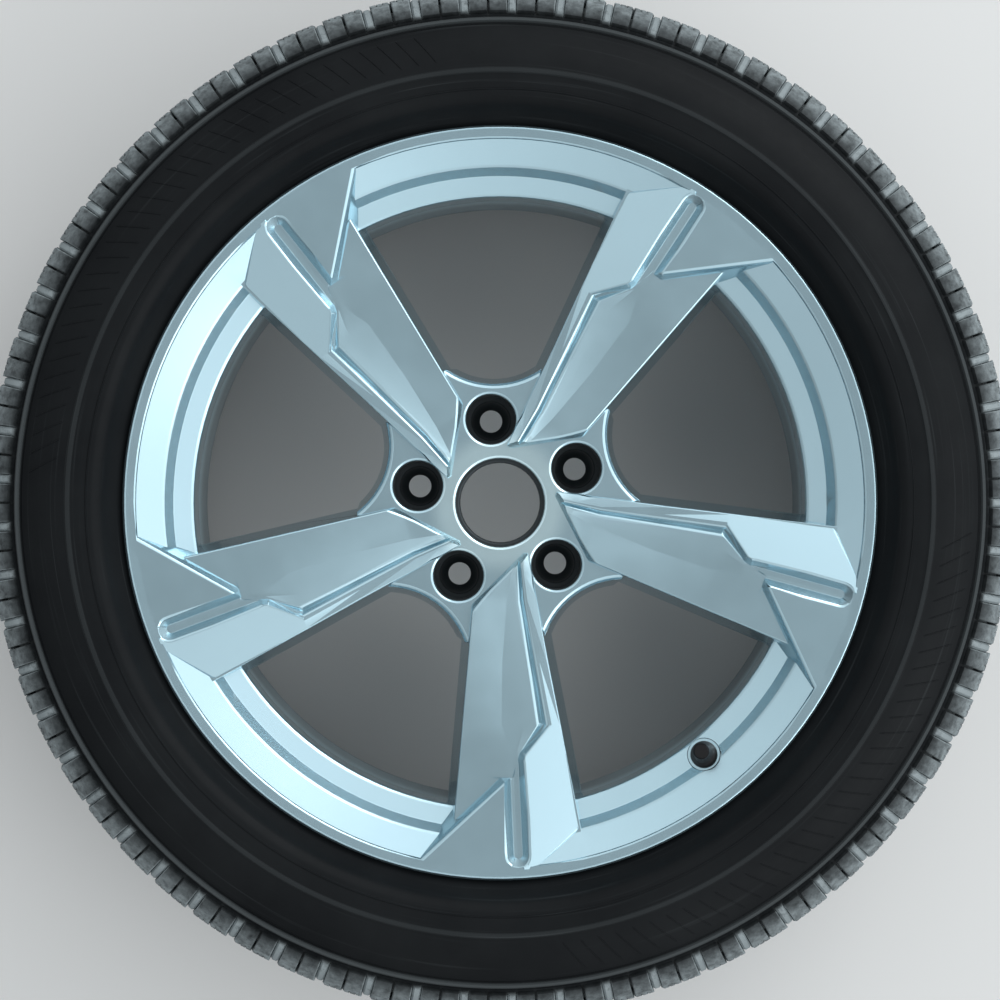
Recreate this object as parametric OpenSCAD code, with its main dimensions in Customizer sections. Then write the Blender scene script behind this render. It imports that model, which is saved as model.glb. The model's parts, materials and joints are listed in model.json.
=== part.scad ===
// Wheel and tyre assembly: a one-piece cast five-spoke rim with its mounted tyre,
// snap-in valve and adhesive balance weights.
// Units are millimetres. The origin is the centre of the wheel, +Z is the wheel's axis
// and points out of the face, so the wheel lies on the tyre's back sidewall.

/* [Rim] */
// Diameter of the bead seats
seat_d = 462; // [456:1:480]
// Width of the rim between the two flanges
rim_w = 190.5; // [178:0.5:204]
// Height of a flange above its bead seat
flange_h = 17.5; // [15:0.5:20]
// Thickness of a flange, along the axle
flange_t = 11.5; // [10:0.5:14]
// Wall of the barrel
barrel_wall = 5.5; // [4.5:0.5:8]
// Depth of the drop well below the bead seats
well_depth = 21.5; // [18:0.5:23]
// Width of the floor of the drop well
well_w = 33; // [24:1:40]
// Depth of the barrel behind the well, below the bead seats
barrel_depth = 9; // [7:0.5:12]

/* [Face ring] */
// Width of the flat lip around the face
lip_w = 6.5; // [5:0.5:9]
// Width of the bright cone inside the lip
cone_w = 17; // [13:0.5:19]
// Drop of the cone from the lip to its inner edge
cone_drop = 7; // [4:0.5:9]
// Width of the steep step inside the cone
step_w = 5.5; // [4:0.5:8]
// Drop of the steep step
step_drop = 6.5; // [4:0.5:8]
// Drop of the inner band, from the step to the windows
band_drop = 3.5; // [2:0.5:6]

/* [Hub] */
// Distance of the mounting pad in front of the rim's middle
offset_et = 40; // [34:1:46]
// Diameter of the bore that the car's hub centres
hub_bore_d = 66.5; // [57:0.1:70]
// Depth of that bore
hub_bore_depth = 12; // [8:1:16]
// Diameter of the seat for a centre cap, at the front
cap_seat_d = 59; // [56:0.5:62]
// Depth of the cap seat
cap_seat_depth = 9; // [6:1:14]
// Diameter of the waist between the two bores
waist_d = 54; // [48:1:55]
// Diameter of the mounting pad
pad_d = 150; // [142:1:156]
// Depth of the hub's front plate below the face
plate_depth = 20.5; // [18:0.5:24]
// Height of the mounting pad behind the hub's body
pad_h = 8; // [5:1:12]

/* [Bolt holes] */
// Diameter of the circle of bolt holes
bolt_pcd = 112; // [108:0.5:116]
// Number of wheel bolts, and of spokes
bolt_count = 5; // [5:1:5]
// Diameter of the hole that a bolt passes through
bolt_hole_d = 15.3; // [14.5:0.1:17]
// Radius of the ball-shaped seat under a bolt's head
bolt_seat_r = 13; // [12:0.5:14]
// Diameter of the pocket for a bolt's head
bolt_pocket_d = 33; // [28:0.2:34]
// Thickness of metal between the ball seat and the pad
bolt_grip = 13; // [10:0.5:18]
// Width of the chamfer around a pocket
pocket_chamfer = 1.2; // [0.5:0.1:2.5]

/* [Spokes] */
// Turn of the first bolt hole from the +X axis
bolt_turn = 24.3; // [20:0.1:30]
// Distance of the spoke's left edge from its centre line, at the hub
left_hub = 18; // [15:0.5:21]
// The same at the ring
left_ring = 29.8; // [26:0.2:34]
// Distance of the spoke's right edge from its centre line, at the hub
right_hub = 24.3; // [21:0.1:27]
// The same at the ring
right_ring = 53.5; // [48:0.5:57]
// Depth of the spoke's edges below the face, at the hub
edge_depth_hub = 16.2; // [15:0.2:18]
// Depth of the left edge below the face, at the ring
edge_depth_ring = 8.5; // [6:0.5:10]
// Depth of the spoke from its face to its back
spoke_t = 37; // [30:1:42]
// Slope of the spoke's sides, outwards over the depth
side_draft = 0.16; // [0.05:0.01:0.25]
// Depth of the fold along the spoke below the left edge, at its deepest
fold_depth = 2.8; // [1:0.1:3.6]
// Width of the groove beside the fold, at its outer end
groove_w = 5.6; // [4:0.2:8]
// Depth of that groove
groove_depth = 2; // [1:0.1:3]
// Distance from the axle to the inner corner of the raised flank
flank_start = 147; // [142:1:152]
// Distance from the axle to the outer corner of its slanted end
flank_kink = 166.5; // [162:0.5:172]
// Slope of the flank, down to the right
flank_slope = 0.198; // [0.15:0.002:0.22]
// Distance from the axle to the tip of the arrow at the ring
arrow_tip = 185; // [180:1:192]
// Width of the arrow at the lip
arrow_w = 56; // [48:1:62]
// Depth of the arrow's tip below the face
arrow_depth = 3; // [2:0.1:4]
// Width of the chamfer at the arrow's tip
arrow_chamfer = 3.8; // [2:0.2:6]
// Tilt of the slanted end of a spoke at the hub, from upright
end_tilt = 40; // [25:1:50]
// Width of the floor of the slot between arrow and flank
slot_floor = 6; // [4:0.5:8]
// Depth of the slot at its inner end, below the face
slot_depth = 8.8; // [8.6:0.1:9.6]
// Wall of metal around the pocket behind a spoke
pocket_wall = 7; // [5:0.5:9]

/* [Windows] */
// Radius of the arc between two spokes, at the hub
scoop_r = 56; // [48:1:62]
// Distance from the axle to that arc
scoop_reach = 79; // [77:0.5:84]
// Turn of that arc behind its bolt hole
scoop_turn = 4.5; // [2:0.5:6]
// Draft of that arc over the hub's depth
scoop_draft = 7; // [3:0.5:10]
// Width of the chamfer along that arc
scoop_chamfer = 1.8; // [0.5:0.1:3]

/* [Tyre] */
// Outside diameter of the tyre
tyre_od = 690; // [676:1:704]
// Width of the tyre across its sidewalls
section_w = 242; // [232:1:250]
// Width of the tread
tread_w = 200; // [190:1:208]
// Fall of the tread from its middle to its edge
crown_drop = 4; // [2:0.5:7]
// Depth of the tread's grooves
groove_cut = 8; // [5:0.5:9]
// Width of a groove around the tread
rib_groove_w = 9; // [6:0.5:11]
// Thickness of rubber under the grooves
under_tread = 8; // [6:0.5:12]
// Thickness of a sidewall
sidewall_t = 9; // [7:0.5:12]
// Number of tread blocks around each shoulder
block_count = 65; // [55:5:75]
// Width of the notch between two blocks
notch_w = 6.5; // [4:0.5:9]
// Height of the raised ring on the sidewall
ring_h = 0.8; // [0.4:0.1:1.5]
// Clearance between the tyre's bead and the rim
bead_gap = 0.3; // [0.2:0.1:0.6]

/* [Valve] */
// Turn of the valve from the +X axis
valve_turn = -51; // [-56:1:-46]
// Distance from the bead's seat in to the valve hole
valve_edge = 15.5; // [14:0.5:17]
// Lean of the valve towards the axle
valve_lean = 14.6; // [10:0.2:18]
// Diameter of the valve hole
valve_hole_d = 11.3; // [10.8:0.1:12]
// Thickness of the rim's wall at the valve
valve_wall = 4; // [3:0.2:5]
// Diameter of the recess around the valve, at the front
valve_recess_d = 21.5; // [20:0.5:23]
// Diameter of the rubber stem's shoulder
stem_shoulder_d = 18; // [16:0.5:19]
// Diameter of the rubber stem's bulb inside the rim
stem_bulb_d = 18.5; // [17:0.5:19.5]
// Height of the rubber stem in front of the hole
stem_h = 15; // [13:0.5:18]
// Diameter of the brass tube
tube_d = 7.7; // [7:0.1:8]
// Height of the tube's tip in front of the hole
tube_h = 23; // [22:0.5:26]
// Diameter of the chamber in the tube that holds the core
chamber_d = 5.4; // [5:0.1:5.6]
// Outside diameter of the cap
cap_d = 10.4; // [9.8:0.2:12]
// Diameter of the core's pin
pin_d = 1.3; // [1:0.1:1.5]
// Travel of the core's pin
pin_travel = 1.2; // [0.8:0.1:1.5]
// Diameter of the wire of the core's spring
wire_d = 0.3; // [0.2:0.05:0.35]

/* [Balance weights] */
// Number of weights in the strip
weight_count = 8; // [8:1:8]
// Length of one weight around the barrel
weight_l = 14; // [12:0.5:18]
// Width of a weight along the axle
weight_w = 19; // [15:1:22]
// Thickness of a weight
weight_t = 4; // [3:0.2:6]
// Thickness of the adhesive tape under the weights
tape_t = 0.8; // [0.5:0.1:1.2]
// Gap between two weights
weight_gap = 0.8; // [0.5:0.1:1.5]
// Turn of the middle of the strip from the +X axis
weight_turn = 129; // [110:1:150]
// Distance of the strip's middle behind the front end of the barrel's straight wall
weight_back = 23.25; // [21.25:0.5:29.25]

/* [Hidden] */

silver = [0.75, 0.79, 0.80];
rubber_black = [0.09, 0.09, 0.095];
brass = [0.78, 0.62, 0.30];
lead_grey = [0.52, 0.53, 0.55];
tape_blue = [0.20, 0.27, 0.36];
cap_black = [0.05, 0.05, 0.055];

seat_r = seat_d / 2;
half_w = rim_w / 2;
face_z = half_w + flange_t;
flange_r = seat_r + flange_h;
well_r = seat_r - well_depth;
barrel_r = seat_r - barrel_depth;
barrel_in = barrel_r - barrel_wall;
window_r = well_r - barrel_wall - 0.5;

// Radii and depths of the rings on the face, from the lip to the windows
edge_round = 1.6;
lip_out = flange_r - edge_round;
lip_in = lip_out - lip_w;
lip_depth = 0.9;
cone_out = lip_in - 0.8;
cone_in = cone_out - cone_w;
cone_depth = lip_depth + 1.3;
cone_floor = cone_depth + cone_drop;
step_in = cone_in - step_w;
step_floor = cone_floor + step_drop;
band_floor = step_floor + band_drop;

spoke_turn = 360 / bolt_count;
plate_z = face_z - plate_depth;
pad_z = offset_et;
hub_r = 96;

// A point of a spoke that points to -Y: x to the right, r outwards, d below the face
function at(x, r, d) = [x, -r, face_z - d];
function mix(a, b, t) = a + (b - a) * t;
function along(r, r0, r1) = (r - r0) / (r1 - r0);
function arc(cx, cy, radius, a0, a1, n) =
    [for (i = [0 : n]) [cx + radius * cos(mix(a0, a1, i / n)), cy + radius * sin(mix(a0, a1, i / n))]];

// A closed skin over rows that have the same number of points each. Seen from outside the
// first row, its points run clockwise. Each end is a fan around the row's last point.
module skin(rows) {
    n = len(rows[0]);
    last = (len(rows) - 1) * n;
    points = [for (row = rows) for (p = row) p];
    sides = [for (i = [0 : len(rows) - 2]) for (j = [0 : n - 1]) let (k = (j + 1) % n)
        each [[i * n + j, i * n + k, (i + 1) * n + k], [i * n + j, (i + 1) * n + k, (i + 1) * n + j]]];
    first_end = [for (j = [0 : n - 3]) [n - 1, j + 1, j]];
    last_end = [for (j = [0 : n - 3]) [last + n - 1, last + j, last + j + 1]];
    polyhedron(points = points, faces = concat(sides, first_end, last_end), convexity = 6);
}

// Rim, first the profile on the tyre's side, then the inside and the face

seat_w = 20;
heel_r = 6.5;
hump_h = 0.9;
curl_r = 9.5;
seat_fall = 1.2;
well_front = half_w - 27 - 12;
well_back = well_front - well_w;
barrel_front = well_back - 14;

// Half of the profile on the tyre's side, from the flange's edge to the hump
function seat_profile() = concat(
    arc(seat_r + flange_h - curl_r, half_w + curl_r, curl_r, 0, -90, 5),
    arc(seat_r + heel_r, half_w - heel_r, heel_r, 90, 180, 4),
    [[seat_r - seat_fall, half_w - seat_w],
     [seat_r - seat_fall + hump_h, half_w - seat_w - 3],
     [seat_r - seat_fall - 0.6, half_w - seat_w - 7]]);

function mirrored(list) = [for (i = [len(list) - 1 : -1 : 0]) [list[i][0], -list[i][1]]];

back_bevel = 7;

function barrel_profile() = concat(
    [[lip_out, face_z], [flange_r, face_z - edge_round]],
    seat_profile(),
    [[well_r, well_front], [well_r, well_back], [barrel_r, barrel_front],
     [barrel_r, -half_w + seat_w + 13]],
    mirrored(seat_profile()),
    [[flange_r, -face_z + edge_round], [lip_out, -face_z],
     [flange_r - back_bevel, -face_z],
     [seat_r - back_bevel, -half_w + 1],
     [seat_r - back_bevel, -half_w + seat_w],
     [barrel_in, -half_w + seat_w + 10],
     [barrel_in, barrel_front - 1], [window_r, well_back - 2],
     [window_r, face_z - band_floor - 1.5], [window_r + 1.5, face_z - band_floor],
     [step_in - 0.8, face_z - step_floor - 0.3], [step_in, face_z - step_floor],
     [cone_in, face_z - cone_floor], [cone_out, face_z - cone_depth],
     [lip_in, face_z - lip_depth], [lip_out - 1, face_z - lip_depth / 3]]);

module barrel() {
    rotate_extrude($fn = 180) polygon(barrel_profile());
}

module hub() {
    plate_h = plate_z - pad_z;
    chamfer_h = 2 * scoop_chamfer;
    difference() {
        union() {
            translate([0, 0, pad_z + pad_h]) cylinder(r = hub_r, h = plate_h - pad_h, $fn = 120);
            translate([0, 0, pad_z]) cylinder(d1 = pad_d, d2 = pad_d + 6, h = pad_h, $fn = 120);
        }
        for (k = [0 : bolt_count - 1]) rotate([0, 0, bolt_turn - scoop_turn + spoke_turn * k])
            translate([scoop_reach + scoop_r, 0, 0]) {
                translate([0, 0, pad_z - 1])
                    cylinder(r1 = scoop_r - scoop_draft, r2 = scoop_r, h = plate_h + 2, $fn = 90);
                translate([0, 0, plate_z - scoop_chamfer])
                    cylinder(r1 = scoop_r, r2 = scoop_r + chamfer_h, h = chamfer_h, $fn = 90);
            }
    }
}

// Lines that run along a spoke: each gives x at the hub station and at the flank's start
hub_station = 65;
outer_station = 203;
ring_station = 215.5;

function left_x(r) = -mix(left_hub, left_ring, along(r, hub_station, outer_station));
function right_x(r) = mix(right_hub, right_ring, along(r, hub_station, ring_station));
function left_d(r) = mix(edge_depth_hub, edge_depth_ring, pow(along(r, hub_station, outer_station), 0.8));

// Depth of the raised flank, a plane that falls to the right and towards the hub
flank_fall = 0.0456;
flank_level_x = 20;
function flank_d(x, r) = lip_depth + flank_slope * (x - flank_level_x) + flank_fall * (lip_in - r);

// Distances from the axle to the rows of a spoke: its inner end, the hub, the inner part and the
// outer part, and where it ends in the ring
foot_station = 33.5;
tip_station = 48;
inner_station = 106;
arrow_station = 190;
spoke_r = lip_in + 2;

// Lines that run along a spoke between its edges, as [distance from the axle, x]
strip_end_x = 34.2;
groove_end_x = strip_end_x - groove_w - 0.7;
fold_x = [[foot_station, 9.6], [hub_station, 4.6], [inner_station, 1.5], [flank_start, 1]];
land_in_x = [[foot_station, 10.4], [hub_station, 10], [inner_station, 12.8], [flank_start, 16.2]];
land_out_x = [[foot_station, 11.2], [hub_station, 12.6], [flank_start, groove_end_x - 2.9]];
groove_x = [[foot_station, 12], [hub_station, 14], [flank_start, groove_end_x]];
strip_in_x = [[foot_station, 13], [hub_station, 16.2], [flank_start, strip_end_x - 3.2]];
strip_out_x = [[foot_station, 14.4], [hub_station, 18.2], [flank_start, strip_end_x]];

// The same lines as [distance from the axle, depth below the face]
left_drop = [[hub_station, edge_depth_hub], [flank_start, 10.8]];
fold_drop = [[tip_station, fold_depth / 2], [hub_station, fold_depth], [inner_station, 0.9 * fold_depth],
             [flank_start, fold_depth / 2]];
land_in_drop = [[tip_station, edge_depth_hub + 0.9], [hub_station, edge_depth_hub + 1.8],
                [flank_start, 11]];
land_out_drop = [[tip_station, edge_depth_hub + 0.6], [hub_station, edge_depth_hub + 1.2],
                 [flank_start, 10]];
edge_step = 0.7;
ridge_step = 0.1;

// Section across the inner part of a spoke, at the distance r from the axle
function inner_section(r) =
    let (t = max(0, along(r, hub_station, flank_start)),
         edge = mix(edge_depth_hub + edge_step, flank_d(right_x(r), r), t),
         ridge = mix(edge_depth_hub - ridge_step, flank_d(strip_end_x, r), t),
         left = lookup(r, left_drop), land = lookup(r, land_out_drop))
    [at(left_x(r), r, left),
     at(lookup(r, fold_x), r, left + lookup(r, fold_drop)),
     at(lookup(r, land_in_x), r, lookup(r, land_in_drop)),
     at(lookup(r, land_out_x), r, land),
     at(lookup(r, groove_x), r, land + groove_depth),
     at(lookup(r, strip_in_x), r, ridge),
     at(lookup(r, strip_out_x), r, ridge),
     at(right_x(r), r, edge),
     at(right_x(r) + side_draft * spoke_t, r, edge + spoke_t),
     at(left_x(r) - side_draft * spoke_t, r, left + spoke_t)];

// Section across the outer part, where the flank and the arrow stand on it: the floor right of
// the fold falls by floor_fall
floor_x = [5, 8, 10, 12, 14];
floor_fall = [0, 0, 0.2, 0.3, 0.4];
function outer_section(r, fold, outer_fold_x) =
    let (left = left_d(r), edge = flank_d(right_x(r), r))
    concat(
    [at(left_x(r), r, left), at(outer_fold_x, r, fold)],
    [for (i = [0 : len(floor_x) - 1]) at(outer_fold_x + floor_x[i], r, fold + floor_fall[i])],
    [at(right_x(r), r, edge),
     at(right_x(r) + side_draft * spoke_t, r, edge + spoke_t),
     at(left_x(r) - side_draft * spoke_t, r, left + spoke_t)]);

module spoke_body() {
    rows = [foot_station, tip_station, hub_station, inner_station, flank_start];
    skin(concat([for (r = rows) inner_section(r)],
                [outer_section(flank_kink, 9, 3),
                 outer_section(arrow_station, 8.4, 6),
                 outer_section(spoke_r, 7.4, 9)]));
}

// Rows of the flank: its top, the foot of its bevels, and its root in the spoke
module spoke_flank() {
    end_r = ring_station - 0.6;
    function top(x, r) = at(x, r, flank_d(x, r));
    function low(x, r, d) = at(x, r, flank_d(x, r) + d);
    skin([[top(32.6, flank_start), top(16.5, flank_kink), top(12, arrow_station), top(16, spoke_r),
           top(21, spoke_r), top(right_x(ring_station) - 2, end_r), top(right_x(flank_start), flank_start)],
          [low(29.4, flank_start - 1.4, 3.8), low(13, flank_kink - 1.5, 6.6), low(6, arrow_station, 7),
           low(12, spoke_r, 7), low(26, spoke_r, 1.8),
           low(right_x(ring_station), ring_station, 1), low(right_x(flank_start) + 0.3, flank_start, 1.5)],
          [low(29.4, flank_start - 1.4, 12), low(13, flank_kink - 1.5, 12), low(6, arrow_station, 12),
           low(12, spoke_r, 9), low(28, spoke_r, 9),
           low(right_x(ring_station) + 2, ring_station + 1, 14),
           low(right_x(flank_start) + 2, flank_start, 14)]]);
}

// Rows of the arrow: its top, the foot of its bevels, and its root in the spoke
module spoke_arrow() {
    tip_x = 2.7;
    right = 8;
    left = 4.8 - arrow_w;
    left_r = sqrt(lip_in * lip_in - left * left);
    foot_x = tip_x - 0.55 * arrow_chamfer;
    foot_r = arrow_tip - 0.85 * arrow_chamfer;
    root_r = arrow_tip + 19;
    turn = 0.1;
    function t(x, r) = along(r + turn * (4.8 - x), lip_in, arrow_tip);
    function top(x, r) = at(x, r, mix(lip_depth, arrow_depth, t(x, r)));
    function low(x, r, d) = top(x, r) - [0, 0, d];
    skin([[top(right, arrow_tip), top(tip_x, arrow_tip), top(left, left_r), top(left - 0.3, left_r + 1.8),
           top(right, spoke_r)],
          [low(right, foot_r, 5), low(foot_x, foot_r, 5), low(left - 2, left_r - 0.8, 1.6),
           low(left - 2.5, left_r + 1, 1.6), low(right, spoke_r, 5)],
          [low(right, root_r, 19), low(-33.5, root_r, 19), low(left - 2.8, left_r - 6, 14),
           low(left - 3, left_r - 2, 7), low(right, spoke_r, 9)]]);
}

// Fills the space between arrow and flank, so that the slot has whole walls
module slot_block() {
    start = arrow_tip + 1;
    left = 3;
    right = 15.5;
    lean = 3.5;
    thick = 9;
    skin([[at(right, start, arrow_depth), at(left, start, arrow_depth), at(left + lean, spoke_r, lip_depth),
           at(right + lean, spoke_r, lip_depth)],
          [at(right, start, arrow_depth + thick), at(left, start, arrow_depth + thick),
           at(left + lean, spoke_r, lip_depth + thick), at(right + lean, spoke_r, lip_depth + thick)]]);
}

// Keeps the spokes inside the metal of the ring
module spoke_room() {
    rotate_extrude($fn = 180) polygon([
        [0, 0], [well_r - 3, 0], [well_r - 3, well_front + 4], [seat_r - 8, half_w - 22],
        [seat_r - 4, half_w - 3], [seat_r + 5, half_w + 3.5], [lip_in + 1.5, half_w + 4],
        [lip_in + 1.5, face_z + 20], [0, face_z + 20]]);
}

// What is cut away at the slanted end of a spoke, down to the hub's plate
module spoke_end() {
    tip_x = 15;
    tip_r = 34;
    turn = atan2(hub_station + 2 - tip_r, tip_x + left_hub);
    up = 30;
    sunk = 0.5;
    run = 90;
    slope = tan(end_tilt);
    translate(at(tip_x, tip_r, plate_depth)) rotate([0, 0, turn - 180]) translate([-20, 0, 0])
        rotate([90, 0, 90]) linear_extrude(run)
            polygon([[-sunk * slope, -sunk], [-60, -sunk], [-60, up], [up * slope, up]]);
}

module spoke() {
    intersection() {
        union() {
            difference() {
                spoke_body();
                spoke_end();
            }
            spoke_flank();
            spoke_arrow();
            slot_block();
        }
        spoke_room();
    }
}

// Both ends of the slot: x, distance from the axle, rise of the floor and widening of the walls
slot_cut = 8;
slot_inner = [9.2, 172, 0, 5.6];
slot_outer = [12, 232, 3, 8.2];

module spoke_slot() {
    hull() for (end = [slot_inner, slot_outer]) translate(at(end[0], end[1], slot_depth - end[2]))
        cylinder(r1 = slot_floor / 2, r2 = slot_floor / 2 + end[3], h = slot_cut, $fn = 24);
}

module spoke_pocket() {
    start = 96;
    middle = 150;
    end = 194;
    inset = pocket_wall - 1;
    draft = 5;
    deep = 45;
    skin([for (r = [start, middle, end]) let (top = mix(19.8, 12.5, along(r, start, end)) + pocket_wall)
        [at(left_x(r) + inset, r, top), at(right_x(r) - inset, r, top),
         at(right_x(r) - inset + draft, r, top + deep), at(left_x(r) + inset - draft, r, top + deep)]]);
}

module bolt_hole() {
    seat_z = pad_z + bolt_grip;
    translate([bolt_pcd / 2, 0, 0]) {
        translate([0, 0, pad_z - 1]) cylinder(d = bolt_hole_d, h = bolt_grip + 10, $fn = 48);
        translate([0, 0, seat_z]) sphere(r = bolt_seat_r, $fn = 48);
        translate([0, 0, seat_z]) cylinder(d = bolt_pocket_d, h = plate_depth + 60, $fn = 64);
        translate([0, 0, plate_z - pocket_chamfer])
            cylinder(d1 = bolt_pocket_d, d2 = bolt_pocket_d + 8 * pocket_chamfer, h = 4 * pocket_chamfer,
                     $fn = 64);
    }
}

module centre_bores() {
    translate([0, 0, pad_z - 1]) cylinder(d = hub_bore_d, h = hub_bore_depth + 1, $fn = 120);
    translate([0, 0, pad_z]) cylinder(d = waist_d, h = 60, $fn = 120);
    translate([0, 0, plate_z - cap_seat_depth]) cylinder(d = cap_seat_d, h = cap_seat_depth + 10, $fn = 120);
    translate([0, 0, plate_z - 1.2]) cylinder(d1 = cap_seat_d, d2 = cap_seat_d + 4.8, h = 2.4, $fn = 120);
    translate([0, 0, pad_z - 0.01]) cylinder(d1 = hub_bore_d + 3, d2 = hub_bore_d - 3, h = 3, $fn = 120);
}

module at_valve() {
    rotate([0, 0, valve_turn]) translate([seat_r - valve_edge, 0, face_z - step_floor - 1.5])
        rotate([0, -valve_lean, 0]) children();
}

module valve_hole() {
    at_valve() {
        translate([0, 0, -valve_wall - 1]) cylinder(d = valve_hole_d, h = valve_wall + 2, $fn = 48);
        cylinder(d = valve_recess_d, h = 30, $fn = 64);
        translate([0, 0, -valve_wall - 40]) cylinder(d = valve_recess_d, h = 40, $fn = 64);
    }
}

module rim() {
    color(silver) difference() {
        union() {
            barrel();
            hub();
            for (k = [0 : bolt_count - 1]) rotate([0, 0, spoke_turn * k]) spoke();
        }
        for (k = [0 : bolt_count - 1]) rotate([0, 0, spoke_turn * k]) {
            spoke_slot();
            spoke_pocket();
        }
        for (k = [0 : bolt_count - 1]) rotate([0, 0, bolt_turn + spoke_turn * k]) bolt_hole();
        centre_bores();
        valve_hole();
    }
}

// Tyre, as a section that is open to the rim
tyre_r = tyre_od / 2;
half_section = section_w / 2;
half_tread = tread_w / 2;
side_h = tyre_r - flange_r;
// A radius at a share of the sidewall's height
function up(share) = flange_r + share * side_h;
line_r = up(0.228);
ring_r = up(0.347);
ridge_r = up(0.715);
// A radius between the ridge and the tread
function rise(share) = mix(ridge_r, tyre_r, share);

line_w = 1.1;
ring_w = 1.5;

// Outer half of the section, from the bead's toe up the sidewall to the tread
function sidewall() = concat(
    [[seat_r - seat_fall + bead_gap, half_w - seat_w + 0.5]],
    [for (p = arc(seat_r + heel_r + bead_gap, half_w - heel_r - bead_gap, heel_r, 180, 90, 4)) p],
    arc(seat_r + flange_h - curl_r, half_w + curl_r, curl_r + bead_gap, -90, -35, 4),
    [[up(0.04), half_w + 9],
     [up(0.104), half_w + 15],
     [up(0.14), half_section - 3],
     [line_r - line_w, half_section - 1.3], [line_r - line_w / 2, half_section - 1.3 + ring_h],
     [line_r + line_w / 2, half_section - 1.2 + ring_h], [line_r + line_w, half_section - 1.1],
     [ring_r - ring_w, half_section - ring_h], [ring_r, half_section],
     [ring_r + ring_w, half_section - ring_h],
     [up(0.49), half_section - 2.6],
     [up(0.632), half_section - 7.6],
     [ridge_r - 3.6, half_section - 9.6], [ridge_r - 2.6, half_section - 11],
     [ridge_r - 1.4, half_section - 10.4], [ridge_r, half_section - 10],
     [ridge_r + 1.6, half_section - 11.4], [ridge_r + 2.8, half_section - 13.6],
     [ridge_r + 4.5, half_section - 13],
     [rise(0.47), half_tread + 4], [rise(0.69), half_tread - 2]]);

// Height of the tread's surface at the distance z from its middle
function crown(z) = tyre_r - crown_drop * pow(abs(z) / half_tread, 2);

groove_z = [16, 56];

function groove(z) = let (h = rib_groove_w / 2)
    [[crown(z + h), z + h], [crown(z) - groove_cut, z + h - 1.5], [crown(z) - groove_cut, z - h + 1.5],
     [crown(z - h), z - h]];

function tread_half() = concat(
    [[crown(half_tread - 8), half_tread - 8]],
    groove(groove_z[1]),
    [[crown(groove_z[1] - 18), groove_z[1] - 18]],
    groove(groove_z[0]));

function tyre_inside() =
    let (top = tyre_r - groove_cut - under_tread, side = half_section - sidewall_t,
         inner_round = 0.228 * side_h)
    concat(
    [[seat_r - seat_fall + bead_gap + 1, half_w - seat_w - 1],
     [seat_r + 12, half_w - 14], [up(0.11), half_w + 2],
     [up(0.16), side - 2], [ring_r, side], [up(0.513), side - 3]],
    arc(top - inner_round, side - 30, inner_round, 30, 0, 3));

module tyre_body() {
    outer = concat(sidewall(), tread_half());
    inner = tyre_inside();
    rotate_extrude($fn = 180) polygon(concat(
        outer, mirrored(outer),
        [for (i = [0 : len(inner) - 1]) [inner[i][0], -inner[i][1]]],
        mirrored([for (p = inner) [p[0], -p[1]]])));
}

// Cuts one notch through a shoulder, from the outer groove to the sidewall
module shoulder_notch() {
    floor_r = tyre_r - groove_cut - 1;
    rotate([90, 0, 0]) translate([0, 0, -notch_w / 2]) linear_extrude(notch_w)
        polygon([[floor_r, groove_z[1]], [tyre_r + 5, groove_z[1]], [tyre_r + 5, half_section],
                 [rise(0.29), half_section], [rise(0.29), half_tread + 3], [floor_r - 3, half_tread - 8]]);
}

module tyre() {
    color(rubber_black) difference() {
        tyre_body();
        for (k = [0 : block_count - 1]) {
            rotate([0, 0, 360 / block_count * k]) shoulder_notch();
            rotate([0, 0, 360 / block_count * (k + 0.5)]) mirror([0, 0, 1]) shoulder_notch();
        }
    }
}

// Valve, along its own axis from the hole in the rim outwards
tube_foot = -9;
fit = 0.05;
core_top = tube_h - 1.5;
core_head_z = core_top - 5;
core_foot = 6;
core_bore = 3;
barrel_d = 4;
cup_top = core_foot - 0.05;
cup_t = 1.7;
pin_head = 0.6;
pin_foot = cup_top - cup_t - pin_head;
collar_z = core_head_z + 1;
chamber_floor = pin_foot - pin_travel - 0.4;
cap_skirt = stem_h + 0.6;
seal_t = 1;
cap_inside = tube_h + 0.1 + seal_t;
cap_end = cap_inside + 1.8;

module tube_of(outer, inner, low, high, sides = 48) {
    difference() {
        translate([0, 0, low]) cylinder(d = outer, h = high - low, $fn = sides);
        translate([0, 0, low - 1]) cylinder(d = inner, h = high - low + 2, $fn = sides);
    }
}

module valve_stem() {
    neck = valve_hole_d / 2 - 0.1;
    color(rubber_black) at_valve() difference() {
        rotate_extrude($fn = 64) polygon([
            [0, -valve_wall - 9], [stem_bulb_d / 2 - 3, -valve_wall - 9],
            [stem_bulb_d / 2 - 1, -valve_wall - 6], [stem_bulb_d / 2, -valve_wall - 0.2],
            [neck, -valve_wall - 0.2], [neck, 0.2],
            [stem_shoulder_d / 2 - 0.5, 0.2], [stem_shoulder_d / 2, 1], [stem_shoulder_d / 2 - 0.4, 3],
            [tube_d / 2 + 2.4, 7], [tube_d / 2 + 1.2, stem_h], [0, stem_h]]);
        translate([0, 0, -30]) cylinder(d = tube_d + 2 * fit, h = 60, $fn = 48);
    }
}

module valve_tube() {
    color(brass) at_valve() difference() {
        translate([0, 0, tube_foot]) cylinder(d = tube_d, h = tube_h - tube_foot, $fn = 48);
        translate([0, 0, tube_foot - 1]) cylinder(d = 3, h = 20, $fn = 32);
        translate([0, 0, chamber_floor]) cylinder(d = chamber_d, h = tube_h, $fn = 48);
    }
}

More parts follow.
